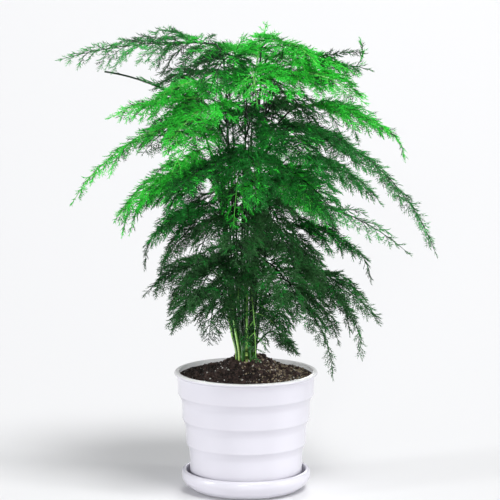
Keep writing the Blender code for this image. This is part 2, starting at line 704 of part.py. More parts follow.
def main():
    for old in list(bpy.data.objects):
        bpy.data.objects.remove(old)
    white = new_material("white_plastic", (0.86, 0.87, 0.88), 0.25)
    earth = new_material("potting_soil", (0.055, 0.036, 0.026), 0.95)
    greens = {
        "bright": new_material("bright_leaf", (0.05, 0.42, 0.04), 0.5),
        "mid": new_material("green_leaf", (0.03, 0.26, 0.04), 0.5),
        "dark": new_material("dark_leaf", (0.02, 0.13, 0.05), 0.5),
    }
    new_object("saucer", turned(saucer_outline()), white, 50.0)
    new_object("pot", turned(pot_outline()), white, 50.0)
    placed = placed_fronds()
    canes = [cane._replace(fronds=tuple(placed[cane.name])) for cane in CANES]
    lines = [(cane_line(cane), cane.fronds[0].heading) for cane in canes + [BARE_SHOOT]]
    make_soil(earth, lines)
    for cane in canes:
        make_leafy_stem(cane, greens[cane.tone])
    make_bare_shoot(BARE_SHOOT, greens[BARE_SHOOT.tone])


main()
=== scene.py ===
"""A lace fern in its banded white pot: the fine surface of every piece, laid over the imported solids.

The fronds follow the same centre lines as the solids. Each side branch carries branchlets, and each branchlet
carries needles. The pot, the saucer and the soil are turned again with finer outlines.
"""

import math
import random
from collections import namedtuple

import bmesh
import bpy
from mathutils import Matrix, Vector, kdtree, noise


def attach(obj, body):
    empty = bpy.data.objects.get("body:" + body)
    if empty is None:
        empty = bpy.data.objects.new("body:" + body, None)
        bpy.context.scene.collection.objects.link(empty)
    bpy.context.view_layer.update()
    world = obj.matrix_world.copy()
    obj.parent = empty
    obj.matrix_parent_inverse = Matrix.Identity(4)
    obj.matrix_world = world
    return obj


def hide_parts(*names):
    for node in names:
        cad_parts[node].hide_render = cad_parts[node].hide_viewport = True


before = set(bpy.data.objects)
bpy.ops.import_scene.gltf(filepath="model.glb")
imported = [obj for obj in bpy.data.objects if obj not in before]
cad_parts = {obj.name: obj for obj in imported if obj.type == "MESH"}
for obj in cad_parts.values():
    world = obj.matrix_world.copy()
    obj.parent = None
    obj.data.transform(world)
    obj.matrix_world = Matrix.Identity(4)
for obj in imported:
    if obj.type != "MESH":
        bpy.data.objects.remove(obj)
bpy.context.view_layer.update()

# Saucer: radii and heights of its outline
SAUCER_FOOT_RADIUS = 0.0545
SAUCER_RADIUS = 0.0704
SAUCER_HEIGHT = 0.0226
SAUCER_WALL = 0.0028
SAUCER_FLOOR = 0.0025
SAUCER_ROUNDING = 0.0022

# Pot: four bands, each narrower than the one above it
POT_TOP = 0.1300
RIM_RADIUS = 0.0780
RIM_THICK = 0.0028
MOUTH_RADIUS = 0.0728
BAND_RADII = (0.0738, 0.0693, 0.0652, 0.0613)
BAND_FEET = (0.1054, 0.0782, 0.0514)
STEP_HEIGHT = 0.0108
STEP_POINTS = 6
POT_WALL = 0.0024
POT_FLOOR = 0.0028
FOOT_RADIUS = 0.0525
DRAIN_RADIUS = 0.0060
POT_ROUNDING = 0.0009
TURNED_SIDES = 96

# Soil: a mound inside the pot that rises to the canes, with crumbs and clods, and white grains on it. The
# crumbs to the right are lighter: painted light on the side that the light falls on
GAP = 0.0003
SOIL_EDGE = 0.1256
MOUND_HEIGHT = 0.0215
MOUND_RADIUS = 0.0360
MOUND_PLACE = (0.0040, 0.0080)
CLOD_HEIGHT = 0.0014
BUMP_HEIGHT = 0.0013
SOIL_RINGS = 44
CRUMBS = 2100
PERLITE = 270
CLOD_EVERY = 8
CRUMB_SIZES = (0.0006, 0.0015)
CLOD_SIZES = (0.0014, 0.0034)
PERLITE_SIZES = (0.0003, 0.0011)
# Crumbs right of a point drawn between these take the lighter peat: painted light
LIT_SIDE_BETWEEN = (-0.012, 0.042)

# Canes: in two rings round a middle one, upright in the soil and leaning out above it, most to the left
INNER = 0.0057
OUTER = 0.0104
CANE_RADIUS = 0.0014
CANE_TOP_RADIUS = 0.0009
CANE_FOOT = 0.1160
CANE_COLLAR = 0.1515
CANE_LEAN = 1250
LEAN_LEFT = 450
CANE_SIDES = 8
CANE_STRETCHES = 36
CANE_NODE_SPACING = 0.024
SCALE_LENGTH = 0.0042
BUD_LENGTH = 0.006

# Tufts on the canes, between a height and a share of the cane's length, each turned on from the one before
TUFTS_ABOVE = 0.205
TUFTS_END = 0.96
TUFT_LENGTH = 0.0160
TUFT_SPACING = 0.0095
TUFT_TURN = 137.5

# Fronds, and how they are moved to keep clear of each other
STALK_WIDTH = 0.0011
PAIR_SPACING = 0.0300
PAIR_STAGGER = 0.0040
FIRST_PAIR = 0.07
LAST_PAIR = 0.88
BREADTH = 0.50
BRANCH_ANGLE = 58.0
BRANCH_LIFT = 8.0
BRANCH_DROOP = 44.0
BRANCH_TILT = 12.0
BRANCH_SPREAD = 11.0
LEAFLET_REACH = 0.0100
CLEARANCE = 0.0034
STEEPEST = -84.0
SAMPLE_SPACING = 0.0045
LIFT_STEP = 0.003
SAG_STEP = 6.0

# Inner sprays: short fronds that hang between the tiers and hide the canes
SPRAY_STALK = 0.0260
SPRAY_LEAVING = 34.0
SPRAY_RISE = -22.0
SPRAY_FALL = -76.0
SPRAY_TURNS = (0, -8, 8, -16, 16, -24, 24)

# Fine fronds: side branches that fill in between the pairs, each with branchlets to both sides
INFILL = 3
LAST_BRANCH = 0.975
STALK_SIDES = 5
BRANCH_SIDES = 3
BRANCH_THICK = 0.00052
BRANCH_THIN = 0.00020
SHORT_BRANCH = 0.011
LONG_BRANCH = 0.03
FULL_BRANCH = 0.045
SPRIG_SPACING = 0.0029
SPARSE_SPACING = 1.8
STRAND_SPACING = 1.4
SPRIG_LONG = 0.0145
SPRIG_SHORT = 0.0060
SPRIG_TAPER = 0.66
SPRIG_STAGGER = 0.22
SPRIG_LIFTS = (-0.65, 0.45)
TIP_SPRIG = 0.008

# Branchlets and their needles: two needles to a fan, one to each side
SPRIG_SIZES = (0.0055, 0.0085, 0.0125)
SPRIG_VARIANTS = 4
SPRIG_RADIUS = 0.00036
NEEDLE_NODES = 0.0027
NEEDLE_LENGTH = 0.0061
NEEDLE_RADIUS = 0.00045
FAN = (30, -32)
NEEDLE_TILTS = (-34, 26)

# Tones, and the record's slot for each stem's own
# The bright and dark tones, wherever a stem, frond, strand or tuft is given them, are partly painted light
# and painted shade
TONES = ("bright", "mid", "dark", "pale")
SLOTS = {"bright": "bright_foliage", "mid": "green_foliage", "dark": "dark_foliage"}
# Fronds and sprays that start below a height are dark, painted shade low in the plant, and tufts above one
# are bright, painted light on the crown
SHADED_BELOW = 0.285
SPRAY_SHADED_BELOW = 0.345
LIT_CROWN_FROM = 0.440
# The tones that a share of a frond's branchlets have instead of its own
OTHER_TONES = {
    "bright": ("mid", "dark"), "mid": ("dark", "dark", "bright"), "dark": ("mid",), "pale": ("mid", "dark"),
}
OTHER_SHARE = 0.18

# Stems are named below without this. A frond is a stem and a number, with the inner sprays numbered last.
STEM = "leafy_stem_"
# Canes that are fresh green at the soil, and fronds whose branchlets stand far apart
FRESH_CANES = ("left", "hanging_left", "front")
SPARSE = (("top_left", 0), ("top_left", 1), ("top_right_front", 1), ("right_drooping", 0))
# Fronds with a tone other than their stem's. A lighter one is partly painted light, a darker one partly
# painted shade
OWN_TONES = {
    ("top_left", 0): "pale", ("top_left", 1): "bright", ("top_left", 2): "dark",
    ("top_right_front", 1): "pale", ("top_right", 1): "bright", ("top_front", 2): "mid",
    ("top_bright_right", 1): "mid", ("top_bright_right", 2): "dark",
    ("top_back", 0): "bright", ("top_back", 2): "dark",
    ("top_back_right", 0): "dark", ("top_back_left", 0): "dark", ("crown", 1): "mid",
    ("left", 1): "mid", ("hanging_left", 1): "mid",
    ("right", 0): "pale", ("right_drooping", 0): "pale",
    ("front", 0): "mid", ("front", 1): "dark", ("front_left", 0): "mid",
}
# Thin strands that trail or curl off a frond: their tone, where along it they start, and their own heading,
# length and slope at both ends
STRANDS = {
    ("top_left", 0): (
        ("dark", 0.08, 222, 0.046, -24, -60), ("dark", 0.17, 160, 0.042, -30, -64),
        ("dark", 0.27, 214, 0.030, -34, -66), ("mid", 0.05, 80, 0.024, 30, 6),
        ("mid", 0.15, 140, 0.030, 34, 8), ("bright", 0.10, 250, 0.042, 24, -16),
        ("bright", 0.22, 240, 0.034, 14, -30)),
    ("top_left_front", 0): (("dark", 0.15, 268, 0.060, -46, -80),),
    ("top_left_front", 1): (("pale", 0.34, 176, 0.040, 48, 16),),
    ("crown", 1): (
        ("dark", 0.40, 200, 0.040, 10, -30), ("bright", 0.55, 262, 0.060, -50, -84),
        ("bright", 0.04, 190, 0.044, 22, -8), ("bright", 0.04, 350, 0.044, 26, 0),
        ("bright", 0.10, 276, 0.036, 10, -30), ("bright", 0.02, 60, 0.028, 50, 30)),
    ("crown", 2): (("dark", 0.35, 250, 0.060, -44, -80), ("bright", 0.06, 215, 0.040, 12, -30)),
    ("top_right_front", 0): (("dark", 0.55, 20, 0.050, 16, -8),),
    ("top_right", 0): (("bright", 0.84, 20, 0.027, 40, 112),),
    ("top_right", 1): (
        ("bright", 0.93, 340, 0.030, -30, -84), ("pale", 0.08, 330, 0.050, 24, -20),
        ("bright", 0.30, 340, 0.040, 20, -30), ("pale", 0.45, 350, 0.045, -10, -60),
        ("pale", 0.04, 310, 0.036, -10, -40), ("bright", 0.18, 60, 0.036, 10, -30),
        ("pale", 0.38, 320, 0.040, -40, -70), ("pale", 0.22, 330, 0.040, -46, -70)),
    ("top_front", 0): (("mid", 0.25, 236, 0.062, -46, -82), ("dark", 0.12, 200, 0.062, -40, -76)),
    ("top_front", 1): (("mid", 0.20, 300, 0.058, -30, -80),),
    ("right", 1): (("dark", 0.90, 350, 0.030, -50, -86),),
    ("hanging_right", 0): (("dark", 0.90, 20, 0.038, -66, -92), ("dark", 0.62, 340, 0.036, -60, -86)),
    ("low_right", 0): (("dark", 0.93, 330, 0.028, -70, -88),),
    ("left", 0): (("bright", 0.62, 205, 0.048, -60, -74), ("bright", 0.78, 190, 0.036, -66, -80)),
    ("left", 1): (("dark", 0.85, 196, 0.034, -40, -118),),
    ("front", 0): (("mid", 0.16, 214, 0.056, -20, -70),),
    ("front_left", 0): (("mid", 0.22, 290, 0.056, -24, -76),),
}
# Buds of the bare shoot: where along its whip, and how far they point up or down
BUDS = ((0.25, -0.7), (0.55, 0.5), (0.8, 0.5))

# Camera and light
CAMERA_PLACE = (0.0044, -2.573, 0.640)
CAMERA_TARGET = (0.0044, 0.0, 0.2625)
CAMERA_LENS = 173.6
SENSOR_WIDTH = 36.0
LIT_POINT = (0, 0, 0.25)
# Far lamps: the place they shine from, how wide they look in radians, and their strength
SUNS = {
    "key": ((0.6, -0.9, 2.4), 0.42, 2.2),
    "left": ((-2.3, -0.9, 0.62), 0.2, 1.8),
    "right": ((2.35, -0.8, 0.62), 0.2, 1.75),
    "front": ((-0.25, -2.4, 0.60), 0.1, 0.6),
    "back": ((0.2, 1.7, 1.3), 0.5, 1.0),
}
FLOOR_SIZE = 40.0

Frond = namedtuple("Frond", "start heading length rise fall leaves_at breadth", defaults=(None, 1.0))
Cane = namedtuple("Cane", "name tone foot_ring foot_azimuth fronds sprays", defaults=((),))

# Each frond: where its leafy part starts, its heading in degrees (0 to the right, 180 to the left, 270 to the
# front), its length, and its slope at the start and at the tip. A side frond also says how high its
# stalk leaves the cane, and an unusually slim or broad one says how broad it is. Each inner spray: how high
# it leaves the cane, its heading and its length.
CANES = tuple(Cane(STEM + stem, *rest) for stem, *rest in (
    ("top_left", "mid", INNER, 176, (
        Frond((-0.032, 0.007, 0.484), 184, 0.168, 5, -16),
        Frond((-0.056, 0.000, 0.402), 179, 0.163, -8, -60, 0.362, 0.75)),
        ((0.416, 146, 0.075),)),
    ("top_left_front", "bright", INNER, 221, (
        Frond((-0.036, -0.028, 0.450), 216, 0.080, 6, -34),
        Frond((-0.038, -0.014, 0.436), 188, 0.110, 6, -26, 0.402))),
    ("crown", "bright", 0.0, 0, (
        Frond((0.008, 0.004, 0.434), 62, 0.075, 82, 52),
        Frond((-0.012, -0.034, 0.474), 250, 0.088, 6, -58, 0.418),
        Frond((0.022, -0.022, 0.488), 314, 0.082, 12, -44, 0.404))),
    ("top_right_front", "bright", INNER, 346, (
        Frond((0.024, -0.013, 0.481), 342, 0.100, 12, -32),
        Frond((0.068, -0.012, 0.398), 354, 0.198, -20, -70, 0.362, 0.6)),
        ((0.374, 322, 0.070),)),
    ("top_right", "mid", INNER, 30, (
        Frond((0.040, 0.014, 0.460), 8, 0.095, 10, -16),
        Frond((0.060, 0.016, 0.417), 6, 0.112, 6, -44, 0.380, 1.15)),
        ((0.340, 30, 0.090),)),
    ("top_front", "bright", INNER, 262, (
        Frond((0.002, -0.030, 0.458), 276, 0.105, 16, -50),
        Frond((-0.025, -0.030, 0.422), 238, 0.120, 5, -48, 0.388)),
        ((0.412, 272, 0.085), (0.345, 262, 0.090))),
    ("top_bright_right", "bright", INNER, 306, (
        Frond((0.040, -0.026, 0.456), 328, 0.105, 8, -40),
        Frond((0.026, -0.032, 0.402), 298, 0.115, 5, -48, 0.368)),
        ((0.410, 310, 0.080), (0.350, 328, 0.080))),
    ("top_back", "mid", INNER, 80, (
        Frond((-0.005, 0.030, 0.474), 98, 0.112, 20, -36),
        Frond((0.010, 0.040, 0.412), 78, 0.130, 5, -44, 0.380)),
        ((0.430, 52, 0.080), (0.322, 84, 0.095))),
    ("top_back_left", "mid", INNER, 130, (
        Frond((-0.026, 0.026, 0.450), 142, 0.100, 12, -36),
        Frond((-0.036, 0.032, 0.396), 134, 0.125, 4, -46, 0.362)),
        ((0.318, 122, 0.090),)),
    ("top_back_right", "mid", OUTER, 52, (
        Frond((0.026, 0.026, 0.446), 46, 0.106, 16, -32),
        Frond((0.038, 0.032, 0.388), 40, 0.125, 2, -46, 0.356)),
        ((0.310, 62, 0.090),)),
    ("right", "mid", OUTER, 4, (
        Frond((0.050, 0.008, 0.362), 6, 0.114, 0, -56),
        Frond((0.040, 0.010, 0.290), 10, 0.105, -2, -46, 0.262)),
        ((0.225, 4, 0.100), (0.330, 20, 0.085))),
    ("hanging_right", "dark", OUTER, 28, (
        Frond((0.048, 0.018, 0.238), 18, 0.112, -14, -70),)),
    ("back_right", "mid", OUTER, 76, (
        Frond((0.018, 0.038, 0.334), 66, 0.130, 2, -50),
        Frond((0.020, 0.030, 0.256), 58, 0.115, 2, -54, 0.230))),
    ("back", "mid", OUTER, 104, (
        Frond((-0.004, 0.040, 0.356), 98, 0.130, 4, -48),
        Frond((-0.006, 0.036, 0.266), 100, 0.125, 2, -52, 0.240))),
    ("back_left", "mid", OUTER, 154, (
        Frond((-0.030, 0.026, 0.340), 144, 0.128, 4, -48),
        Frond((-0.026, 0.022, 0.252), 148, 0.098, 2, -54, 0.226)),
        ((0.290, 166, 0.085),)),
    ("left", "bright", OUTER, 178, (
        Frond((-0.034, 0.004, 0.342), 184, 0.124, 2, -56, None, 1.15),
        Frond((-0.038, 0.004, 0.304), 178, 0.080, -4, -50, 0.272)),
        ((0.226, 176, 0.062), (0.318, 206, 0.070))),
    ("low_left", "dark", OUTER, 202, (
        Frond((-0.030, -0.010, 0.250), 194, 0.088, 4, -46),
        Frond((-0.026, -0.024, 0.226), 222, 0.084, 0, -48, 0.200)),
        ((0.210, 180, 0.064), (0.226, 240, 0.062))),
    ("hanging_left", "bright", OUTER, 226, (
        Frond((-0.036, -0.028, 0.398), 236, 0.092, -5, -58),
        Frond((-0.034, -0.028, 0.318), 218, 0.094, 2, -46, 0.290)),
        ((0.352, 206, 0.066),)),
    ("front_left", "bright", OUTER, 250, (
        Frond((-0.020, -0.030, 0.362), 238, 0.125, 8, -48),
        Frond((-0.018, -0.034, 0.258), 246, 0.105, 4, -54, 0.232)),
        ((0.305, 236, 0.080), (0.214, 252, 0.080))),
    ("front", "bright", OUTER, 274, (
        Frond((0.004, -0.036, 0.380), 274, 0.122, 10, -52),
        Frond((0.000, -0.036, 0.316), 264, 0.112, 4, -50, 0.288)),
        ((0.340, 290, 0.085), (0.222, 276, 0.100), (0.262, 262, 0.080))),
    ("front_right", "mid", OUTER, 296, (
        Frond((0.026, -0.030, 0.352), 310, 0.122, 6, -50),
        Frond((0.016, -0.034, 0.260), 296, 0.108, 2, -56, 0.232)),
        ((0.284, 304, 0.075), (0.228, 304, 0.060))),
    ("low_right", "dark", OUTER, 319, (
        Frond((0.036, -0.028, 0.226), 324, 0.096, -16, -74),
        Frond((0.018, -0.030, 0.204), 304, 0.046, -20, -60, 0.182))),
    ("right_drooping", "dark", OUTER, 341, (
        Frond((0.050, -0.014, 0.320), 344, 0.140, -6, -40, None, 0.65),
        Frond((0.044, -0.012, 0.252), 346, 0.122, -8, -56, 0.218),
        Frond((0.030, -0.006, 0.174), 350, 0.034, -28, -56, 0.160)),
        ((0.276, 318, 0.070), (0.236, 312, 0.060))),
))
BARE_SHOOT = Cane("bare_shoot", "dark", OUTER, 128, (Frond((-0.070, 0.021, 0.424), 185, 0.088, 32, 8),))


def direction(azimuth, slope):
    """The unit vector of a compass angle and a slope above the level, both in degrees."""
    flat = math.cos(math.radians(slope))
    turned = math.radians(azimuth)
    return Vector((math.cos(turned) * flat, math.sin(turned) * flat, math.sin(math.radians(slope))))


def angles(way):
    """The compass angle and the slope of a direction, in degrees."""
    return math.degrees(math.atan2(way.y, way.x)), math.degrees(math.asin(max(-1.0, min(1.0, way.z))))


def across(way):
    """The level direction to the left of a way."""
    return Vector((-way.y, way.x, 0.0)).normalized()


class Line:
    """A centre line through points, read by its share of the whole length."""

    def __init__(self, points):
        self.points = points
        self.lengths = [(b - a).length for a, b in zip(points, points[1:])]
        self.length = sum(self.lengths)

    def at(self, share):
        """The point and the direction at a share of the length."""
        left = min(max(share, 0.0), 1.0) * self.length
        step = 0
        while step < len(self.lengths) - 1 and left > self.lengths[step]:
            left -= self.lengths[step]
            step += 1
        way = (self.points[step + 1] - self.points[step]).normalized()
        return self.points[step] + way * left, way

    def share_at_height(self, height):
        """The share of the length at which the line first reaches a height."""
        passed = 0.0
        for a, b, length in zip(self.points, self.points[1:], self.lengths):
            if b.z >= height:
                return (passed + length * (height - a.z) / (b.z - a.z)) / self.length
            passed += length
        return 1.0


def arch(start, heading, length, rise, fall, steps=10):
    """A line that leaves at one slope and bends evenly to another."""
    points = [Vector(start)]
    for step in range(steps):
        slope = max(STEEPEST, rise + (fall - rise) * (step + 0.5) / steps)
        points.append(points[-1] + direction(heading, slope) * (length / steps))
    return Line(points)


def bend(start, start_way, end, end_way, steps=12):
    """A smooth line from one point and direction to another."""
    reach = end - start
    first = start + start_way * (reach.length * 0.40)
    last = end - end_way * min(reach.length * 0.3, reach.xy.length * 0.8)
    points = []
    for step in range(steps + 1):
        t = step / steps
        points.append(start * (1 - t) ** 3 + first * (3 * t * (1 - t) ** 2)
                      + last * (3 * t * t * (1 - t)) + end * t ** 3)
    return points


def frond_line(frond):
    """The centre line of a frond's leafy part."""
    return arch(frond.start, frond.heading, frond.length, frond.rise, frond.fall)


def cane_line(cane):
    """The cane's centre line: straight out of the soil, then bending to where its own frond starts."""
    foot = direction(cane.foot_azimuth, 0) * cane.foot_ring + Vector((0, 0, CANE_FOOT))
    collar = foot + Vector((0, 0, CANE_COLLAR - CANE_FOOT))
    leaning = CANE_LEAN - LEAN_LEFT * math.cos(math.radians(cane.foot_azimuth))
    lean = direction(cane.foot_azimuth, 90 - cane.foot_ring * leaning)
    frond = cane.fronds[0]
    return Line([foot] + bend(collar, lean, Vector(frond.start), direction(frond.heading, frond.rise)))


def stalk_line(line, frond):
    """The bare stalk of a side frond, from the cane's centre to where the frond starts."""
    origin = line.at(line.share_at_height(frond.leaves_at))[0]
    leaving = direction(frond.heading, 40)
    return Line(bend(origin, leaving, Vector(frond.start), direction(frond.heading, frond.rise), 6))


def spray_frond(line, leaves_at, heading, length):
    """An inner spray of a cane, as a frond."""
    origin = line.at(line.share_at_height(leaves_at))[0]
    start = origin + direction(heading, SPRAY_LEAVING) * SPRAY_STALK
    return Frond(tuple(start), heading, length, SPRAY_RISE, SPRAY_FALL, leaves_at)


def pair_shares(frond):
    """The shares of a frond's length at which its pairs of side branches stand."""
    pairs = max(3, round(frond.length / PAIR_SPACING))
    return [FIRST_PAIR + (LAST_PAIR - FIRST_PAIR) * pair / (pairs - 1) for pair in range(pairs)]


def branch_line(frond, stalk, seed, share, side):
    """A side branch's centre line: out and forward in the frond's plane, drooping to its tip."""
    drawn = random.Random(f"{seed} {share:.4f} {side}")
    point, way = stalk.at(share + side * PAIR_STAGGER / 2 / stalk.length)
    angle = math.radians(BRANCH_ANGLE - 14 * share + drawn.uniform(-5, 5))
    heading, slope = angles(way * math.cos(angle) + across(way) * (side * math.sin(angle)))
    taper = (1 - share) ** 1.1 * min(1.0, 0.78 + share * 2.2)
    length = frond.length * BREADTH * frond.breadth * taper * drawn.uniform(0.9, 1.08) + 0.005
    tilt = random.Random(seed).uniform(-BRANCH_TILT, BRANCH_TILT)
    slope += BRANCH_LIFT + side * tilt + drawn.uniform(-BRANCH_SPREAD, BRANCH_SPREAD)
    return arch(point, heading, length, slope, slope - BRANCH_DROOP, 6)


def samples_of(frond, stalk, seed):
    """Points all along a frond, its side branches and their leaflets' reach, for keeping fronds apart."""
    points = [stalk.at(step / 36)[0] for step in range(37)]
    for share in pair_shares(frond):
        for side in (1, -1):
            branch = branch_line(frond, stalk, seed, share, side)
            steps = max(3, round(branch.length / SAMPLE_SPACING))
            for step in range(1, steps + 1):
                point, way = branch.at(step / steps)
                reach = across(way) * (LEAFLET_REACH * (1.0 - step / steps))
                points += [point, point + reach, point - reach]
    return points


def cane_samples(line):
    """Points round a cane, for keeping fronds off it."""
    points = []
    for step in range(81):
        point, way = line.at(step / 80)
        side = way.orthogonal().normalized()
        points += [point + turn * CANE_RADIUS for turn in (side, -side, way.cross(side), side.cross(way))]
    return points


def moved_frond(frond, lift, sag, turn):
    """The same frond, started higher, with its tip bent down further and its heading turned."""
    start = (frond.start[0], frond.start[1], frond.start[2] + lift)
    return frond._replace(start=start, heading=frond.heading + turn, fall=frond.fall + sag)


def fitted(frond, seed, turns, taken, line=None):
    """A frond bent clear of the points taken so far, and its own points."""
    tries = sorted(((lift * LIFT_STEP, sag * SAG_STEP, turn) for lift in range(-7, 8)
                    for sag in range(-2, 3) for turn in turns),
                   key=lambda shift: abs(shift[0]) / LIFT_STEP
                   + abs(shift[1]) / 4.0 + abs(shift[2]) / 4.0)
    tree = kdtree.KDTree(len(taken))
    for index, point in enumerate(taken):
        tree.insert(point, index)
    tree.balance()
    best = None
    for lift, sag, turn in tries:
        moved = moved_frond(frond, lift, sag, turn)
        stalk = frond_line(moved)
        points = samples_of(moved, stalk, seed)
        if line:
            points += [stalk_line(line, moved).at(share)[0] for share in (0.3, 0.4, 0.55, 0.7, 0.85)]
        room = 1.0
        for point in points if taken else ():
            room = min(room, tree.find(point)[2])
            if best and room <= best[0]:
                break
        if best is None or room > best[0]:
            best = (room, moved, points)
        if room > CLEARANCE:
            break
    return best[1], best[2]


def placed_fronds():
    """Every frond bent clear of those placed before it: {cane name: its fronds}. The sprays come last."""
    taken, placed, lines = [], {}, {}
    for cane in CANES:
        placed[cane.name] = []
        for number, frond in enumerate(cane.fronds):
            fixed, points = fitted(frond, f"{cane.name} {number}", (0,), taken)
            placed[cane.name].append(fixed)
            taken += points
        lines[cane.name] = cane_line(cane._replace(fronds=placed[cane.name]))
    taken += cane_samples(cane_line(BARE_SHOOT)) + cane_samples(frond_line(BARE_SHOOT.fronds[0]))
    for cane in CANES:
        taken += cane_samples(lines[cane.name])
        for frond in placed[cane.name][1:]:
            stalk = stalk_line(lines[cane.name], frond)
            taken += [stalk.at(step / 12)[0] for step in range(13)]
    for cane in CANES:
        for spray in cane.sprays:
            line, seed = lines[cane.name], f"{cane.name} {len(placed[cane.name])}"
            fixed, points = fitted(spray_frond(line, *spray), seed, SPRAY_TURNS, taken, line)
            placed[cane.name].append(fixed)
            taken += points
    return placed


# Materials

def set_inputs(made, values):
    """Sets a node's inputs to their own values."""
    for name, value in values.items():
        made.inputs[name].default_value = value


def node(tree, kind, inputs=None, **properties):
    """A node with its properties set, then its inputs."""
    made = tree.nodes.new(kind)
    for name, value in properties.items():
        setattr(made, name, value)
    set_inputs(made, inputs or {})
    return made


def wire(tree, *joins):
    """Links nodes: each join is a node and its output, then another node and its input."""
    for maker, output, taker, taken in joins:
        tree.links.new(maker.outputs[output], taker.inputs[taken])


def new_group(name, given, made):
    """A new node group with named inputs and outputs: its tree and its two end nodes."""
    tree = bpy.data.node_groups.new(name, "ShaderNodeTree")
    for socket, kind, default in given:
        tree.interface.new_socket(name=socket, in_out="INPUT", socket_type=kind).default_value = default
    for socket, kind in made:
        tree.interface.new_socket(name=socket, in_out="OUTPUT", socket_type=kind)
    return tree, node(tree, "NodeGroupInput"), node(tree, "NodeGroupOutput")


def mottle_group():
    """A colour that drifts between a shade and a light, in soft patches with a finer grain over them."""
    tree, given, out = new_group("mottle", (
        ("Shade", "NodeSocketColor", (0, 0, 0, 1)),
        ("Light", "NodeSocketColor", (1, 1, 1, 1)),
        ("Patch Scale", "NodeSocketFloat", 30.0),
        ("Grain Scale", "NodeSocketFloat", 400.0),
        ("Grain", "NodeSocketFloat", 0.4),
    ), (("Color", "NodeSocketColor"), ("Mask", "NodeSocketFloat")))
    where = node(tree, "ShaderNodeTexCoord")
    patches = node(tree, "ShaderNodeTexNoise", {"Detail": 3.0})
    grain = node(tree, "ShaderNodeTexNoise", {"Detail": 1.0})
    blend = node(tree, "ShaderNodeMix", data_type="FLOAT")
    spread = node(tree, "ShaderNodeMath", {1: 3.8, 2: -1.4}, operation="MULTIPLY_ADD", use_clamp=True)
    mix = node(tree, "ShaderNodeMix", data_type="RGBA")
    wire(tree, (where, "Object", patches, "Vector"), (given, "Patch Scale", patches, "Scale"),
         (where, "Object", grain, "Vector"), (given, "Grain Scale", grain, "Scale"),
         (given, "Grain", blend, "Factor"), (patches, "Fac", blend, "A"), (grain, "Fac", blend, "B"),
         (blend, "Result", spread, 0), (spread, "Value", mix, "Factor"),
         (given, "Shade", mix, "A"), (given, "Light", mix, "B"),
         (mix, "Result", out, "Color"), (spread, "Value", out, "Mask"))
    return tree


def relief_group():
    """A bumped normal from noise at one scale."""
    tree, given, out = new_group("relief", (
        ("Scale", "NodeSocketFloat", 500.0),
        ("Strength", "NodeSocketFloat", 0.2),
        ("Distance", "NodeSocketFloat", 0.0005),
    ), (("Normal", "NodeSocketVector"),))
    where, rough = node(tree, "ShaderNodeTexCoord"), node(tree, "ShaderNodeTexNoise", {"Detail": 4.0})
    bump = node(tree, "ShaderNodeBump")
    wire(tree, (where, "Object", rough, "Vector"), (given, "Scale", rough, "Scale"),
         (rough, "Fac", bump, "Height"), (given, "Strength", bump, "Strength"),
         (given, "Distance", bump, "Distance"), (bump, "Normal", out, "Normal"))
    return tree


MOTTLE = mottle_group()
RELIEF = relief_group()


def surface_of(name, inputs):
    """A new material, its tree, and its shader with its own values set."""
    material = bpy.data.materials.new(name)
    material.use_nodes = True
    tree = material.node_tree
    shader = tree.nodes["Principled BSDF"]
    set_inputs(shader, inputs)
    return material, tree, shader


def add_mottle(tree, shader, shade, light, patch, grain, share):
    """The mottle group with its values, as a shader's colour if one is given."""
    mottle = node(tree, "ShaderNodeGroup", {
        "Shade": (*shade, 1), "Light": (*light, 1), "Patch Scale": patch, "Grain Scale": grain,
        "Grain": share,
    }, node_tree=MOTTLE)
    if shader:
        wire(tree, (mottle, "Color", shader, "Base Color"))
    return mottle


def add_relief(tree, shader, scale, strength, distance):
    """The relief group with its values, on a shader's normal."""
    relief = node(tree, "ShaderNodeGroup", {"Scale": scale, "Strength": strength, "Distance": distance},
                  node_tree=RELIEF)
    wire(tree, (relief, "Normal", shader, "Normal"))


def foliage(name, shade, light):
    """Needles: fresh and old green in patches as wide as a spray, with each needle a little different."""
    material, tree, shader = surface_of(name, {"Roughness": 0.6, "Specular IOR Level": 0.12})
    add_mottle(tree, shader, shade, light, patch=26.0, grain=420.0, share=0.40)
    return material


def cane_bark(name, foot, low, high):
    """A cane: a pale foot, then green that darkens upwards, with fine streaks."""
    material, tree, shader = surface_of(name, {"Roughness": 0.27})
    where, height = node(tree, "ShaderNodeTexCoord"), node(tree, "ShaderNodeSeparateXYZ")
    rise = node(tree, "ShaderNodeMapRange", {"From Min": 0.135, "From Max": 0.250})
    ramp = node(tree, "ShaderNodeValToRGB")
    ramp.color_ramp.elements[0].color = (*foot, 1)
    ramp.color_ramp.elements[1].color = (*high, 1)
    ramp.color_ramp.elements.new(0.35).color = (*low, 1)
    mottle = add_mottle(tree, None, (0.35, 0.35, 0.35), (1, 1, 1), patch=60.0, grain=900.0, share=0.35)
    shaded = node(tree, "ShaderNodeMix", {"Factor": 0.7}, data_type="RGBA", blend_type="MULTIPLY")
    wire(tree, (where, "Object", height, "Vector"), (height, "Z", rise, "Value"),
         (rise, "Result", ramp, "Fac"), (ramp, "Color", shaded, "A"), (mottle, "Color", shaded, "B"),
         (shaded, "Result", shader, "Base Color"))
    add_relief(tree, shader, scale=1500.0, strength=0.25, distance=0.0003)
    return material


def white_plastic(name, shade, light, glow=0.0):
    """Moulded white plastic: glossy, faintly rippled, dusty in patches. With a glow it lets light through."""
    material, tree, shader = surface_of(name, {
        "Roughness": 0.2, "Subsurface Weight": glow, "Subsurface Radius": (1.0, 1.0, 1.0),
        "Subsurface Scale": 0.012,
    })
    mottle = add_mottle(tree, shader, shade, light, patch=12.0, grain=260.0, share=0.0)
    gloss = node(tree, "ShaderNodeMapRange", {"To Min": 0.24, "To Max": 0.20})
    wire(tree, (mottle, "Mask", gloss, "Value"), (gloss, "Result", shader, "Roughness"))
    add_relief(tree, shader, scale=14.0, strength=0.02, distance=0.0002)
    return material


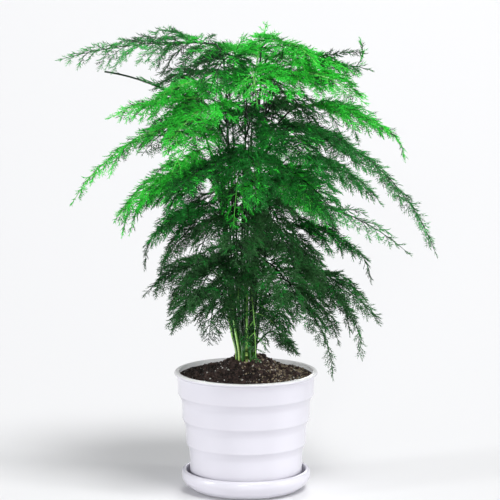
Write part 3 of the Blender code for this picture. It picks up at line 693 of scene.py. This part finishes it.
def potting_soil(name, shade, light, strength):
    """A part of the soil: matt and grainy, darker in patches."""
    material, tree, shader = surface_of(name, {"Roughness": 0.92})
    add_mottle(tree, shader, shade, light, patch=22.0, grain=420.0, share=0.5)
    add_relief(tree, shader, scale=900.0, strength=strength, distance=0.0012)
    return material


# Small shapes that are laid many times

def as_mesh(bm, name, slot=None):
    """A bmesh made into a mesh, all in one material slot if that is given."""
    if slot is not None:
        for face in bm.faces:
            face.material_index = slot
    mesh = bpy.data.meshes.new(name)
    bm.to_mesh(mesh)
    bm.free()
    return mesh


def spike(bm, sides, radius, length, place):
    """A pointed cone, closed at its foot, that runs along the X of a place."""
    along_x = Matrix.Translation((length / 2, 0, 0)) @ Matrix.Rotation(math.pi / 2, 4, "Y")
    bmesh.ops.create_cone(bm, cap_ends=True, segments=sides, radius1=radius, radius2=0.0, depth=length,
                          matrix=place @ along_x)


def sprig(name, length, slot, drawn):
    """A branchlet along +X with fans of needles, in the XY plane."""
    bm = bmesh.new()
    spike(bm, 3, SPRIG_RADIUS, length, Matrix.Identity(4))
    fans = max(2, round(length / NEEDLE_NODES))
    for fan in range(fans):
        share = (fan + 0.6) / fans
        for turn in FAN:
            size = NEEDLE_LENGTH * (1.1 - 0.5 * share) * drawn.uniform(0.82, 1.1)
            aside = Matrix.Rotation(math.radians(turn * (1.1 - 0.3 * share) + drawn.uniform(-8, 8)), 4, "Z")
            tilt = Matrix.Rotation(math.radians(drawn.uniform(*NEEDLE_TILTS)), 4, "Y")
            spike(bm, 3, NEEDLE_RADIUS, size, Matrix.Translation((length * share, 0, 0)) @ aside @ tilt)
    return as_mesh(bm, name, slot)


def sprig_kit():
    """Branchlets of a few lengths in each tone: {tone: [(length, meshes), ...]}."""
    kit = {}
    for slot, tone in enumerate(TONES, 1):
        kit[tone] = []
        for length in SPRIG_SIZES:
            drawn = random.Random(f"{tone} {length}")
            meshes = [sprig(f"sprig_{tone}", length, slot, drawn) for _ in range(SPRIG_VARIANTS)]
            kit[tone].append((length, meshes))
    return kit


def lay(bm, mesh, place):
    """Adds a copy of a small mesh at a place."""
    copy = mesh.copy()
    copy.transform(place)
    bm.from_mesh(copy)
    bpy.data.meshes.remove(copy)


def axes(spot, way, up, scale=1.0):
    """The place whose X runs along a way."""
    side = up.cross(way).normalized()
    up = way.cross(side)
    columns = Matrix((way * scale, side * scale, up * scale)).transposed().to_4x4()
    columns.translation = spot
    return columns


# Fronds and canes

def tube(bm, line, thick, thin, sides, steps):
    """A tapering tube along a line, closed at both ends."""
    spot, way = line.at(0.0)
    side = across(way) if abs(way.z) < 0.995 else Vector((0, 1, 0))
    made = bmesh.ops.create_circle(bm, cap_ends=True, radius=thick, segments=sides,
                                   matrix=axes(spot, way, side) @ Matrix.Rotation(math.pi / 2, 4, "Y"))
    foot = face = made["verts"][0].link_faces[0]
    for step in range(1, steps + 1):
        onward, turned_way = line.at(step / steps)
        grown = bmesh.ops.extrude_face_region(bm, geom=[face], use_keep_orig=face is foot)
        face = next(found for found in grown["geom"] if isinstance(found, bmesh.types.BMFace))
        narrow = (thick + (thin - thick) * step / steps) / (thick + (thin - thick) * (step - 1) / steps)
        turn = way.rotation_difference(turned_way).to_matrix().to_4x4()
        bmesh.ops.transform(bm, verts=face.verts[:], space=Matrix.Translation(-spot),
                            matrix=Matrix.Translation(onward - spot) @ turn @ Matrix.Scale(narrow, 4))
        spot, way = onward, turned_way


def add_tubes(bm, tubes, slot=0):
    """Adds tubes of one material to a piece, with their faces pointing out."""
    bmesh.ops.recalc_face_normals(tubes, faces=tubes.faces)
    mesh = as_mesh(tubes, "tubes", slot)
    bm.from_mesh(mesh)
    bpy.data.meshes.remove(mesh)


def fine_shares(frond, infill):
    """Where side branches stand: at each pair of the solid, and evenly between and beyond them."""
    coarse = pair_shares(frond)
    step = (coarse[1] - coarse[0]) / infill
    shares = [share + step * part for share in coarse[:-1] for part in range(infill)] + [coarse[-1]]
    while shares[-1] + step * 0.6 < LAST_BRANCH:
        shares.append(min(LAST_BRANCH, shares[-1] + step))
    return shares


def lay_sprig(bm, sizes, length, drawn, spot, way, up=None):
    """The branchlet nearest to a length, scaled to it and laid along a way."""
    natural, meshes = min(sizes, key=lambda entry: abs(entry[0] - length))
    if up is None:
        up = way.cross(across(way))
    lay(bm, drawn.choice(meshes), axes(spot, way, up, length / natural))


def lay_sprigs(bm, branch, kit, tone, spacing, drawn):
    """Branchlets along both sides of a branch, shorter towards its tip, and one at the tip."""
    longest = SPRIG_SHORT + (SPRIG_LONG - SPRIG_SHORT) * min(1.0, branch.length / FULL_BRANCH)
    count = max(2, round(branch.length / spacing))
    for number in range(count):
        for side in (1, -1):
            share = 0.07 + 0.90 * (number + 0.5 + SPRIG_STAGGER * side) / count
            spot, way = branch.at(share)
            flat = across(way)
            up = way.cross(flat)
            angle = math.radians(50 - 20 * share + drawn.uniform(-10, 10))
            lift = drawn.uniform(*SPRIG_LIFTS)
            out = (way * math.cos(angle) + flat * (side * math.sin(angle)) + up * lift).normalized()
            length = max(SPRIG_SHORT, longest * (1 - SPRIG_TAPER * share) * drawn.uniform(0.82, 1.12))
            shown = drawn.choice(OTHER_TONES[tone]) if drawn.random() < OTHER_SHARE else tone
            lay_sprig(bm, kit[shown], length, drawn, spot, out, up)
    spot, way = branch.at(1.0)
    lay_sprig(bm, kit[tone], SPRIG_SHORT * 1.3, drawn, spot - way * 0.001, way)


def dress_frond(bm, frond, stalk, seed, kit, tone, sparse):
    """A frond's stalk, its side branches with their branchlets, and the tip."""
    drawn = random.Random(f"fine {seed}")
    apart = SPRIG_SPACING * (SPARSE_SPACING if sparse else 1.0)
    tubes = bmesh.new()
    tube(tubes, stalk, STALK_WIDTH * 0.85, STALK_WIDTH * 0.25, STALK_SIDES, 14)
    for share in fine_shares(frond, INFILL - 1 if sparse else INFILL):
        for side in (1, -1):
            branch = branch_line(frond, stalk, seed, share, side)
            if branch.length > SHORT_BRANCH:
                steps = 5 if branch.length > LONG_BRANCH else 3
                tube(tubes, branch, BRANCH_THICK, BRANCH_THIN, BRANCH_SIDES, steps)
                lay_sprigs(bm, branch, kit, tone, apart * (0.85 + 0.5 * share), drawn)
            else:
                lay_sprig(bm, kit[tone], branch.length, drawn, *branch.at(0.0))
    spot, way = stalk.at(1.0)
    lay_sprig(bm, kit[tone], TIP_SPRIG, drawn, spot - way * (TIP_SPRIG / 2), way)
    add_tubes(bm, tubes, len(TONES) + 1 if tone == "bright" else 0)


def dress_strand(bm, stalk, kit, drawn, tone, share, *bent):
    """A thin strand off a frond's stalk, with short branchlets far apart."""
    strand = arch(stalk.at(share)[0], *bent)
    tubes = bmesh.new()
    tube(tubes, strand, BRANCH_THICK, BRANCH_THIN, BRANCH_SIDES, 9)
    add_tubes(bm, tubes)
    lay_sprigs(bm, strand, kit, tone, SPRIG_SPACING * STRAND_SPACING, drawn)


def cane_scales(bm, line, drawn):
    """A small pointed scale at each joint of a cane, pressed to it."""
    joints = int(line.length * 0.92 / CANE_NODE_SPACING)
    for joint in range(2, joints):
        spot, way = line.at(joint * CANE_NODE_SPACING / line.length)
        aside = Matrix.Rotation(drawn.uniform(0, math.tau), 3, way) @ way.orthogonal().normalized()
        lean = (way + aside * 0.28).normalized()
        spike(bm, 4, 0.0008, SCALE_LENGTH, axes(spot + aside * CANE_RADIUS * 0.55, lean, aside))


def cane_tufts(bm, line, kit, drawn):
    """Short branchlets along a cane's upper part, where new fronds are still small: bright at the crown,
    painted light, and dark below it, painted shade.
    """
    first = line.share_at_height(TUFTS_ABOVE)
    count = round((TUFTS_END - first) * line.length / TUFT_SPACING)
    for number in range(count):
        spot, _ = line.at(first + (TUFTS_END - first) * (number + drawn.random()) / count)
        heading = number * TUFT_TURN + drawn.uniform(-20, 20)
        out = direction(heading, drawn.uniform(-30, 45))
        # Bright tufts on the crown are painted light, and dark ones lower down are painted shade
        sizes = kit["bright" if spot.z > LIT_CROWN_FROM else "dark"]
        lay_sprig(bm, sizes, TUFT_LENGTH * drawn.uniform(0.7, 1.1), drawn, spot, out)


def new_object(name, data, place=(0, 0, 0)):
    """A new object in the scene."""
    made = bpy.data.objects.new(name, data)
    made.location = place
    bpy.context.scene.collection.objects.link(made)
    return made


def new_piece(name, mesh, materials, slot, *nodes):
    """A finished piece on the root, standing for its solids."""
    for material in materials:
        mesh.materials.append(material)
    piece = new_object(name, mesh)
    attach(piece, "root")
    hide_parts(*nodes)


def dress_cane(cane, kit, barks, greens):
    """One leafy stem: the cane with its scales, its tufts, and every frond with its strands."""
    stem = cane.name.removeprefix(STEM)
    bm, tubes = bmesh.new(), bmesh.new()
    line = cane_line(cane)
    drawn = random.Random(f"cane {cane.name}")
    tube(tubes, line, CANE_RADIUS, CANE_TOP_RADIUS * 0.8, CANE_SIDES, CANE_STRETCHES)
    cane_scales(tubes, line, drawn)
    for frond in cane.fronds[1:]:
        tube(tubes, stalk_line(line, frond), STALK_WIDTH, STALK_WIDTH * 0.85, 6, 10)
    add_tubes(bm, tubes)
    cane_tufts(bm, line, kit, drawn)
    for number, frond in enumerate(cane.fronds):
        stalk = frond_line(frond)
        # Fronds and sprays that start low are dark: painted shade
        limit = SPRAY_SHADED_BELOW if frond.rise == SPRAY_RISE else SHADED_BELOW
        tone = "dark" if frond.start[2] < limit else OWN_TONES.get((stem, number), cane.tone)
        dress_frond(bm, frond, stalk, f"{cane.name} {number}", kit, tone, (stem, number) in SPARSE)
        for strand in STRANDS.get((stem, number), ()):
            dress_strand(bm, stalk, kit, drawn, *strand)
    mesh = as_mesh(bm, cane.name + "_fine")
    mesh.shade_smooth()
    bark = barks["fresh" if stem in FRESH_CANES else "old"]
    materials = [bark] + [greens[tone] for tone in TONES] + [barks["young"]]
    new_piece(cane.name + "_fine", mesh, materials, SLOTS[cane.tone], cane.name)


def dress_bare_shoot(cane, bark):
    """The young shoot: a cane that runs out to a whip, with scales and three buds."""
    bm = bmesh.new()
    line, whip = cane_line(cane), frond_line(cane.fronds[0])
    whole = Line(line.points + whip.points[1:])
    tube(bm, whole, CANE_RADIUS, 0.0010, CANE_SIDES, 44)
    cane_scales(bm, whole, random.Random("bare shoot"))
    for share, lift in BUDS:
        spot, way = whip.at(share)
        tip = (way + Vector((0, 0, lift))).normalized()
        spike(bm, 5, 0.0009, BUD_LENGTH, axes(spot, tip, across(tip)))
    bmesh.ops.recalc_face_normals(bm, faces=bm.faces)
    mesh = as_mesh(bm, "bare_shoot_fine")
    mesh.shade_smooth()
    new_piece("bare_shoot_fine", mesh, [bark], "dark_foliage", "bare_shoot")


# Pot, saucer and soil

def saucer_outline():
    """From the axis under the saucer, out round its rolled lip, and back over its floor."""
    outer, foot, top = SAUCER_RADIUS, SAUCER_FOOT_RADIUS, SAUCER_HEIGHT
    lip = outer - 0.0036
    return [
        (0.0, 0.0), (foot, 0.0), (foot + 0.0040, 0.0012), (outer - 0.0048, 0.0064),
        (outer - 0.0012, 0.0116), (outer, 0.0155), (outer - 0.0006, top - 0.0016), (lip, top),
        (lip - 0.0020, top - 0.0010), (outer - SAUCER_WALL * 2, top - 0.0048),
        (outer - 0.0012 - SAUCER_WALL * 2.4, 0.0092), (foot + 0.0044, 0.0046), (foot + 0.0008, SAUCER_FLOOR),
        (0.0, SAUCER_FLOOR),
    ]


def band_outline():
    """The pot's outer wall from under the rim to its foot: upright bands joined by steps that curve in."""
    points = [(BAND_RADII[0] + 0.0006, POT_TOP - RIM_THICK - 0.0014)]
    for upper, lower, foot in zip(BAND_RADII, BAND_RADII[1:], BAND_FEET):
        points.append((upper, foot))
        for step in range(1, STEP_POINTS + 1):
            share = step / STEP_POINTS
            inward = 1 - (1 - share) ** 2
            points.append((upper + (lower + 0.0003 - upper) * inward, foot - STEP_HEIGHT * share))
    last = BAND_RADII[-1] - 0.0005
    return points + [(last, 0.0140), (last - 0.0020, 0.0072), (FOOT_RADIUS + 0.0022, 0.0036)]


def inner_outline(gap):
    """The inside of the pot from its floor's edge up to the mouth, moved in by a gap."""
    floor = POT_FLOOR + 0.0054 + gap
    return [
        (FOOT_RADIUS - 0.0025 - gap, floor),
        (BAND_RADII[3] - POT_WALL - 0.0005 - gap, 0.0140 + gap),
        (BAND_RADII[3] - POT_WALL - gap, BAND_FEET[2] - STEP_HEIGHT),
        (BAND_RADII[1] - POT_WALL - gap, 0.0950),
        (MOUTH_RADIUS - gap, SOIL_EDGE),
    ]


def pot_outline():
    """The whole wall: the rim, the banded outside, the raised underside, the drain hole and the inside."""
    top, under = POT_TOP, POT_FLOOR
    rim = [(RIM_RADIUS - 0.0014, top), (RIM_RADIUS, top - 0.0014), (RIM_RADIUS - 0.0006, top - RIM_THICK)]
    floor = [
        (FOOT_RADIUS, under), (FOOT_RADIUS - 0.0030, under), (FOOT_RADIUS - 0.0040, under + 0.0026),
        (DRAIN_RADIUS, under + 0.0026), (DRAIN_RADIUS, under + 0.0054),
    ]
    return rim + band_outline() + floor + inner_outline(0.0) + [(MOUTH_RADIUS, top)]


def soil_top(x, y):
    """The soil's surface: a mound round the canes, highest behind them, broken up by clods and fine bumps."""
    radius, angle = math.hypot(x, y), math.atan2(y, x)
    off = math.hypot(x - MOUND_PLACE[0], y - MOUND_PLACE[1])
    mound = MOUND_HEIGHT * math.exp(-(off / MOUND_RADIUS) ** 2) * (1 - (radius / MOUTH_RADIUS) ** 4)
    clods = (math.sin(angle * 5 + radius * 310) * math.cos(angle * 3 - radius * 170)
             + 0.6 * math.sin(angle * 9 - radius * 520))
    fade = 1 - min(1.0, radius / MOUTH_RADIUS) ** 6
    bumps = noise.fractal(Vector((x, y, 0)) * 150, 1.0, 2.1, 5) * BUMP_HEIGHT * fade
    return SOIL_EDGE + mound + CLOD_HEIGHT * clods * (1 - (radius / MOUTH_RADIUS) ** 4) + bumps


def turned(outline, name, smooth_angle=50.0):
    """An outline of (radius, height) points turned about the upright axis, as a mesh."""
    bm = bmesh.new()
    verts = [bm.verts.new((radius, 0.0, height)) for radius, height in outline]
    edges = [bm.edges.new(pair) for pair in zip(verts, verts[1:])]
    if outline[0][0] > 0:
        edges.append(bm.edges.new((verts[-1], verts[0])))
    bmesh.ops.spin(bm, geom=verts + edges, axis=(0, 0, 1), cent=(0, 0, 0), angle=math.tau,
                   steps=TURNED_SIDES, use_merge=True)
    bmesh.ops.remove_doubles(bm, verts=bm.verts, dist=1e-6)
    bmesh.ops.recalc_face_normals(bm, faces=bm.faces)
    mesh = as_mesh(bm, name)
    mesh.shade_smooth()
    mesh.set_sharp_from_angle(angle=math.radians(smooth_angle))
    return mesh


def eased(points, reach, steps):
    """An outline with each corner rounded off over a reach along its two sides."""
    made = [points[0]]
    for before, corner, after in zip(points, points[1:], points[2:]):
        here = Vector(corner)
        back, on = Vector(before) - here, Vector(after) - here
        back, on = back * min(0.45, reach / back.length), on * min(0.45, reach / on.length)
        for step in range(steps + 1):
            t = step / steps
            made.append(tuple(here + back * (1 - t) ** 2 + on * t ** 2))
    return made + [points[-1]]


def dress_pot(outside, inside):
    """The pot: its inside and the top of its rim are whiter, painted light, and let light through."""
    mesh = turned(eased(pot_outline(), POT_ROUNDING, 4), "pot_fine")
    for face in mesh.polygons:
        faces_in = face.normal.xy.dot(face.center.xy) < 0 or face.normal.z > 0.5
        # Faces turned in or up, above the saucer, take the whiter copy: painted light
        face.material_index = 1 if faces_in and face.center.z > SAUCER_HEIGHT else 0
    new_piece("pot_fine", mesh, [outside, inside], "pot", "pot")


def dress_saucer(material):
    """The saucer, with its lip rolled over."""
    mesh = turned(eased(saucer_outline(), SAUCER_ROUNDING, 6), "saucer_fine")
    new_piece("saucer_fine", mesh, [material], "saucer", "saucer")


def lumps(name, count, divisions, rough, slot, first_seed):
    """Uneven crumbs of one kind and unit size: balls pushed in and out by noise."""
    made = []
    for seed in range(first_seed, first_seed + count):
        bm = bmesh.new()
        bmesh.ops.create_icosphere(bm, subdivisions=divisions, radius=1.0)
        for vert in bm.verts:
            vert.co *= 1 + rough * noise.noise(vert.co * 1.3 + Vector((seed * 3.1, 0, 0)))
        made.append(as_mesh(bm, name, slot))
    return made


def dress_soil(earth, white, lit_peat):
    """The mound, thousands of crumbs half sunk in it, lighter to the right with painted light, and white
    grains among them.
    """
    walls = inner_outline(GAP)
    tops = [(MOUTH_RADIUS * (1 - number / SOIL_RINGS) - GAP, SOIL_EDGE) for number in range(1, SOIL_RINGS)]
    mesh = turned([(0.0, walls[0][1])] + walls + tops + [(0.0, SOIL_EDGE)], "soil_fine", 60.0)
    for vert in mesh.vertices:
        if abs(vert.co.z - SOIL_EDGE) < 1e-5:
            vert.co.z = soil_top(vert.co.x, vert.co.y)
    bm = bmesh.new()
    bm.from_mesh(mesh)
    drawn = random.Random("soil")
    crumbs, lit_side_crumbs = lumps("crumb", 6, 1, 0.9, 0, 0), lumps("dry_crumb", 6, 1, 0.9, 2, 10)
    clods, grains = lumps("clod", 4, 2, 0.7, 0, 20), lumps("grain", 4, 2, 0.5, 1, 40)
    for number in range(CRUMBS + PERLITE):
        radius = (MOUTH_RADIUS - 0.0022) * math.sqrt(drawn.random())
        angle = drawn.uniform(0, math.tau)
        x, y = radius * math.cos(angle), radius * math.sin(angle)
        if number >= CRUMBS:
            kinds, sizes, sunk = grains, PERLITE_SIZES, 0.0
        elif number % CLOD_EVERY == 0:
            kinds, sizes, sunk = clods, CLOD_SIZES, 0.3
        else:
            # Crumbs to the right take the lighter peat: painted light
            kinds, sizes, sunk = lit_side_crumbs if drawn.uniform(*LIT_SIDE_BETWEEN) < x else crumbs, CRUMB_SIZES, 0.0
        shape, size = drawn.choice(kinds), drawn.uniform(*sizes)
        turn = Matrix.Rotation(drawn.uniform(0, math.tau), 4, Vector((drawn.random(), drawn.random(), 0.5)))
        place = Matrix.Translation((x, y, soil_top(x, y) - size * sunk)) @ turn @ Matrix.Scale(size, 4)
        lay(bm, shape, place)
    bm.to_mesh(mesh)
    bm.free()
    new_piece("soil_fine", mesh, [earth, white, lit_peat], "soil", "soil")


# Floor, light and camera

def aim(thing, target):
    """Turns a lamp or a camera toward a point."""
    thing.rotation_euler = (Vector(target) - thing.location).to_track_quat("-Z", "Y").to_euler()


def set_stage():
    """A pale floor, a little light from all round, and the far lamps."""
    bm = bmesh.new()
    bmesh.ops.create_grid(bm, x_segments=1, y_segments=1, size=FLOOR_SIZE)
    floor = new_object("floor", as_mesh(bm, "floor"))
    material, _, _ = surface_of("pale_floor", {"Roughness": 0.7, "Base Color": (0.75, 0.75, 0.76, 1)})
    floor.data.materials.append(material)
    world = bpy.data.worlds.new("studio")
    world.use_nodes = True
    set_inputs(world.node_tree.nodes["Background"], {"Color": (0.95, 0.97, 1.0, 1), "Strength": 0.22})
    bpy.context.scene.world = world
    for name, (place, width, strength) in SUNS.items():
        data = bpy.data.lights.new(name, "SUN")
        data.angle = width
        data.energy = strength
        aim(new_object(name, data, place), LIT_POINT)


def set_camera():
    """The camera where the photograph was taken from."""
    data = bpy.data.cameras.new("camera")
    data.lens = CAMERA_LENS
    data.sensor_width = SENSOR_WIDTH
    data.clip_start = 0.05
    camera = new_object("camera", data, CAMERA_PLACE)
    aim(camera, CAMERA_TARGET)
    bpy.context.scene.camera = camera


def main():
    """The stage first, then the saucer, the pot, the soil and the canes."""
    bpy.context.scene.view_settings.view_transform = "Standard"
    set_camera()
    set_stage()
    white = white_plastic("white_gloss_plastic", (0.632, 0.620, 0.680), (0.646, 0.634, 0.694))
    dress_saucer(white)
    # The inside and the rim's top: the same plastic made whiter, painted light for the light that the fronds
    # keep off
    dress_pot(white, white_plastic("white_inner_wall", (0.93, 0.93, 0.94), (0.95, 0.95, 0.96), glow=1.0))
    dress_soil(potting_soil("damp_peat", (0.003, 0.002, 0.002), (0.090, 0.052, 0.042), 0.9),
               potting_soil("perlite", (0.55, 0.52, 0.48), (0.90, 0.88, 0.84), 0.2),
               # Lighter peat for the crumbs on the right: painted light
               potting_soil("dry_peat", (0.030, 0.022, 0.012), (0.600, 0.480, 0.330), 0.6))
    # Four copies of the same needles. The bright one, its green at the top of the scale, is partly painted
    # light; the dark one is partly painted shade
    greens = {
        "bright": foliage("bright_needles", (0.016, 0.320, 0.022), (0.076, 1.000, 0.086)),
        "mid": foliage("green_needles", (0.002, 0.026, 0.006), (0.024, 0.315, 0.042)),
        "pale": foliage("pale_needles", (0.010, 0.080, 0.016), (0.080, 0.560, 0.110)),
        "dark": foliage("dark_needles", (0.003, 0.019, 0.006), (0.056, 0.202, 0.058)),
    }
    barks = {
        "young": foliage("young_stalk", (0.030, 0.380, 0.022), (0.310, 0.840, 0.190)),
        "fresh": cane_bark("fresh_cane", (0.68, 0.90, 0.26), (0.36, 0.84, 0.15), (0.010, 0.090, 0.012)),
        "old": cane_bark("old_cane", (0.06, 0.26, 0.03), (0.008, 0.050, 0.010), (0.004, 0.028, 0.008)),
    }
    kit = sprig_kit()
    placed = placed_fronds()
    for cane in CANES:
        dress_cane(cane._replace(fronds=tuple(placed[cane.name])), kit, barks, greens)
    dress_bare_shoot(BARE_SHOOT, barks["old"])


main()
